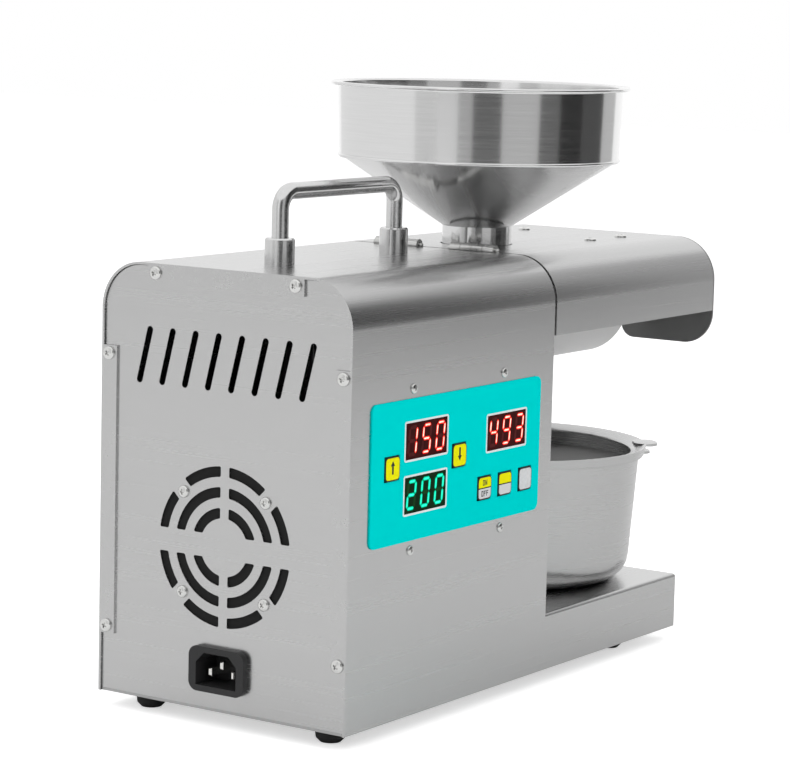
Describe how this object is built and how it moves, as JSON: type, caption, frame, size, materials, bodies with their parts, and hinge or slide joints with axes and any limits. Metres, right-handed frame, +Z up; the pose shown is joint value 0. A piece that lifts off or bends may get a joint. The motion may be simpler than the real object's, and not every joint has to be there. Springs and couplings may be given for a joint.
{
  "type": "screw oil press",
  "caption": "Table-top screw oil press: motor housing with control panel, hopper, hinged head cover over a slotted press barrel, drip trough, strainer and pot on a base tray.",
  "frame": {"origin": "under the middle of the press's bounding box, on the table its feet stand on", "axes": "+X from the rear plate to the press nose, +Y to the side away from the control panel, +Z up"},
  "size_m": [0.3646, 0.1618, 0.3131],
  "materials": {
    "body_steel": "satin stainless sheet",
    "zinc_plate": "zinc plated sheet",
    "tray_dark": "dark textured lacquer",
    "foot_rubber": "matt moulded rubber",
    "screw_steel": "bright zinc",
    "filter_black": "open foam",
    "fan_black": "moulded",
    "inlet_grey": "moulded",
    "pin_metal": "nickel plated",
    "panel_cyan": "printed film",
    "board_green": "solder mask",
    "display_dark": "smoked lens",
    "key_yellow": "moulded",
    "key_grey": "moulded",
    "handle_steel": "polished rod",
    "motor_black": "lacquered",
    "gearbox_alloy": "die cast",
    "press_steel": "turned and ground",
    "heater_brass": "rolled",
    "trough_steel": "satin stainless sheet",
    "front_dark": "dark satin lacquer",
    "hinge_steel": "rolled stainless",
    "hopper_steel": "spun, polished",
    "pot_steel": "spun, polished",
    "mesh_steel": "woven wire"
  },
  "bodies": {
    "housing": {"shell": "body_steel", "rear_plate": "body_steel", "front_bulkhead": "body_steel", "base_plate": "zinc_plate", "base_tray": "tray_dark", "feet": "foot_rubber", "tab_screws": "screw_steel", "fan_screws": "screw_steel", "panel_screws": "screw_steel", "dust_filter": "filter_black", "fan_frame": "fan_black", "power_inlet": "inlet_grey", "inlet_pins": "pin_metal", "control_panel": "panel_cyan", "control_board": "board_green", "board_standoffs": "pin_metal", "display_actual": "display_dark", "display_target": "display_dark", "display_timer": "display_dark", "handle": "handle_steel", "handle_collars": "handle_steel", "handle_nuts": "screw_steel", "motor": "motor_black", "motor_bracket": "zinc_plate", "gearbox_case": "gearbox_alloy", "gearbox_lid": "gearbox_alloy", "press_barrel": "press_steel", "barrel_bolts": "screw_steel", "oil_cage": "press_steel", "heater_band": "heater_brass", "temperature_probe": "pin_metal", "nose_cap": "press_steel", "oil_trough": "trough_steel", "hinge_body_leaves": "hinge_steel", "hinge_pins": "pin_metal"},
    "cover": {"head_cover": "body_steel", "cover_front": "front_dark", "cover_stiffener": "zinc_plate", "cover_screws": "screw_steel", "hinge_cover_leaves": "hinge_steel"},
    "hopper": {"hopper": "hopper_steel", "hopper_neck": "hopper_steel"},
    "press_screw": {"press_screw": "press_steel"},
    "fan_rotor": {"fan_rotor": "fan_black"},
    "pot": {"pot": "pot_steel"},
    "strainer": {"strainer": "pot_steel", "strainer_mesh": "mesh_steel"},
    "key_up": {"key_up": "key_yellow"},
    "key_down": {"key_down": "key_yellow"},
    "key_power": {"key_power": "key_yellow"},
    "key_press": {"key_press": "key_yellow"},
    "key_clear": {"key_clear": "key_grey"}
  },
  "joints": [
    {"name": "cover_hinge", "type": "hinge", "parent": "housing", "child": "cover", "pos_m": [0.0043, 0, 0.2275], "axis": [0, -1, 0], "range_deg": [0, 100]},
    {"name": "hopper_lift", "type": "slide", "parent": "housing", "child": "hopper", "axis": [0, 0, 1], "range_m": [0, 0.271]},
    {"name": "screw_spin", "type": "hinge", "parent": "housing", "child": "press_screw", "pos_m": [-0.0001, 0, 0.1898], "axis": [1, 0, 0], "continuous": true},
    {"name": "fan_spin", "type": "hinge", "parent": "housing", "child": "fan_rotor", "pos_m": [-0.1651, -0.0012, 0.0907], "axis": [1, 0, 0], "continuous": true},
    {"name": "pot_slide", "type": "slide", "parent": "housing", "child": "pot", "axis": [1, 0, 0], "range_m": [0, 0.15]},
    {"name": "strainer_lift", "type": "slide", "parent": "pot", "child": "strainer", "axis": [0, 0, 1], "range_m": [0, 0.04]},
    {"name": "key_up_push", "type": "slide", "parent": "housing", "child": "key_up", "axis": [0, 1, 0], "range_m": [0, 0.0005], "stiffness_N_per_m": 800, "springref_m": -0.0005},
    {"name": "key_down_push", "type": "slide", "parent": "housing", "child": "key_down", "axis": [0, 1, 0], "range_m": [0, 0.0005], "stiffness_N_per_m": 800, "springref_m": -0.0005},
    {"name": "key_power_push", "type": "slide", "parent": "housing", "child": "key_power", "axis": [0, 1, 0], "range_m": [0, 0.0005], "stiffness_N_per_m": 800, "springref_m": -0.0005},
    {"name": "key_press_push", "type": "slide", "parent": "housing", "child": "key_press", "axis": [0, 1, 0], "range_m": [0, 0.0005], "stiffness_N_per_m": 800, "springref_m": -0.0005},
    {"name": "key_clear_push", "type": "slide", "parent": "housing", "child": "key_clear", "axis": [0, 1, 0], "range_m": [0, 0.0005], "stiffness_N_per_m": 800, "springref_m": -0.0005}
  ],
  "couplings": [
    {"joint": "hopper_lift", "follows": "cover_hinge", "m_per_rad": 0.1547}
  ]
}
